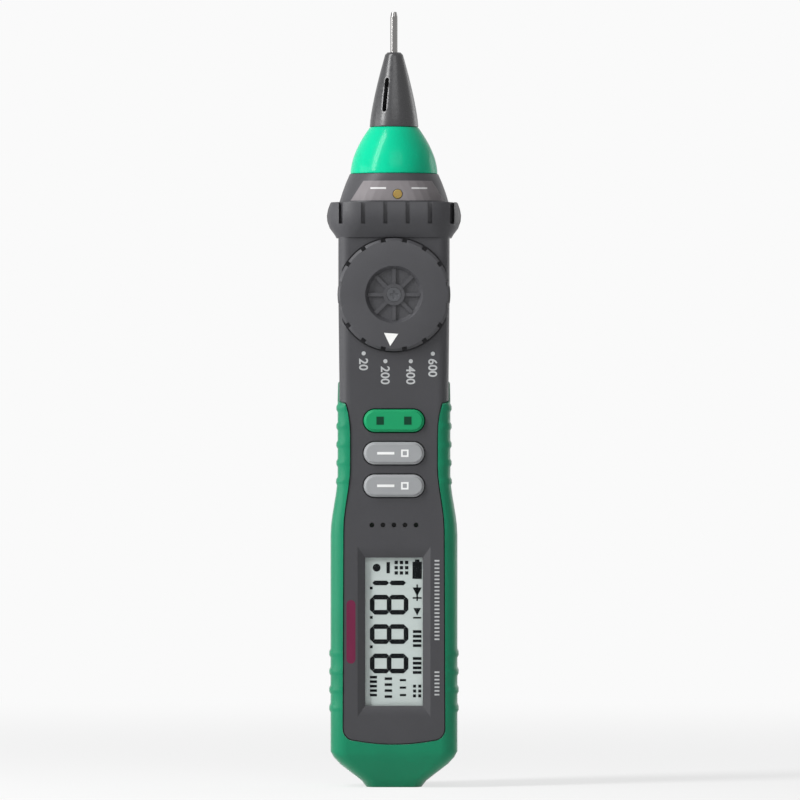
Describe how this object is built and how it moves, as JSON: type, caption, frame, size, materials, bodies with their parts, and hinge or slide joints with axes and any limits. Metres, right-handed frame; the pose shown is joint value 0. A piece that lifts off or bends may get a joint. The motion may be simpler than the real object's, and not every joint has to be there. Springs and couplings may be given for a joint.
{
  "type": "pen multimeter",
  "caption": "Pen-shaped digital multimeter with a probe tip, finger guard, function dial, push buttons, display and a tail socket for the second lead.",
  "frame": {"origin": "centre of the tail's flat end", "axes": "+Z along the pen towards the probe tip, -Y out of the face with the display, +X to the right of the display seen from the front"},
  "size_m": [0.036, 0.0292, 0.208],
  "materials": {
    "housing_grey": "fine spark-eroded satin, dark grey ABS",
    "jacket_green": "satin thermoplastic rubber, green",
    "nose_green": "polished, bright mint green",
    "cowl_grey": "satin, mid grey",
    "black_plastic": "satin, black",
    "dial_grey": "satin, dark grey",
    "button_green": "satin silicone, green",
    "button_grey": "satin silicone, light grey",
    "nickel": "bright nickel plate",
    "brass": "turned brass",
    "steel": "zinc plated steel",
    "amber": "clear amber",
    "led": "clear epoxy",
    "window": "clear acrylic, polished",
    "lcd": "reflective liquid crystal panel",
    "white_plastic": "satin, off-white",
    "silicone": "translucent silicone sheet",
    "board": "solder mask on glass fibre",
    "epoxy": "moulded epoxy",
    "cell": "plain printed sleeve",
    "copper": "bare copper strip"
  },
  "bodies": {
    "housing": {"front_shell": "housing_grey", "rear_shell": "housing_grey", "grip_jacket": "jacket_green", "finger_guard": "housing_grey", "head_cowl": "cowl_grey", "nose_cone": "nose_green", "probe_holder": "black_plastic", "probe_needle": "nickel", "probe_ferrule": "brass", "probe_contact": "brass", "indicator_lens": "amber", "indicator_led": "led", "keypad_membrane": "silicone", "display_window": "window", "lcd_panel": "lcd", "lcd_frame": "white_plastic", "zebra_strips": "silicone", "main_board": "board", "meter_chip": "epoxy", "board_parts": "epoxy", "sounder": "black_plastic", "fuse": "led", "fuse_clips": "nickel", "battery_tray": "black_plastic", "battery_left": "cell", "battery_right": "cell", "battery_springs": "nickel", "battery_contacts": "nickel", "com_socket": "brass", "socket_shroud": "black_plastic", "socket_lead": "copper", "case_screws": "steel"},
    "dial": {"function_dial": "dial_grey", "dial_screw": "steel", "dial_rotor": "white_plastic", "dial_wipers": "brass", "detent_balls": "steel", "detent_springs": "steel"},
    "hold_key": {"hold_button": "button_green"},
    "select_key": {"select_button": "button_grey"},
    "range_key": {"range_button": "button_grey"},
    "cover": {"battery_cover": "jacket_green", "cover_screw": "steel"},
    "sleeve": {"probe_sleeve": "black_plastic"}
  },
  "joints": [
    {"name": "dial_turn", "type": "hinge", "parent": "housing", "child": "dial", "pos_m": [0, -0.012, 0.1319], "axis": [0, -1, 0], "range_deg": [-20, 40]},
    {"name": "hold_press", "type": "slide", "parent": "housing", "child": "hold_key", "axis": [0, 1, 0], "range_m": [0, 0.0008], "stiffness_N_per_m": 500, "springref_m": -0.0004},
    {"name": "select_press", "type": "slide", "parent": "housing", "child": "select_key", "axis": [0, 1, 0], "range_m": [0, 0.0008], "stiffness_N_per_m": 500, "springref_m": -0.0004},
    {"name": "range_press", "type": "slide", "parent": "housing", "child": "range_key", "axis": [0, 1, 0], "range_m": [0, 0.0008], "stiffness_N_per_m": 500, "springref_m": -0.0004},
    {"name": "cover_lift", "type": "slide", "parent": "housing", "child": "cover", "axis": [0, 1, 0], "range_m": [0, 0.03]},
    {"name": "sleeve_pull", "type": "slide", "parent": "housing", "child": "sleeve", "axis": [0, 0, 1], "range_m": [0, 0.034]}
  ]
}
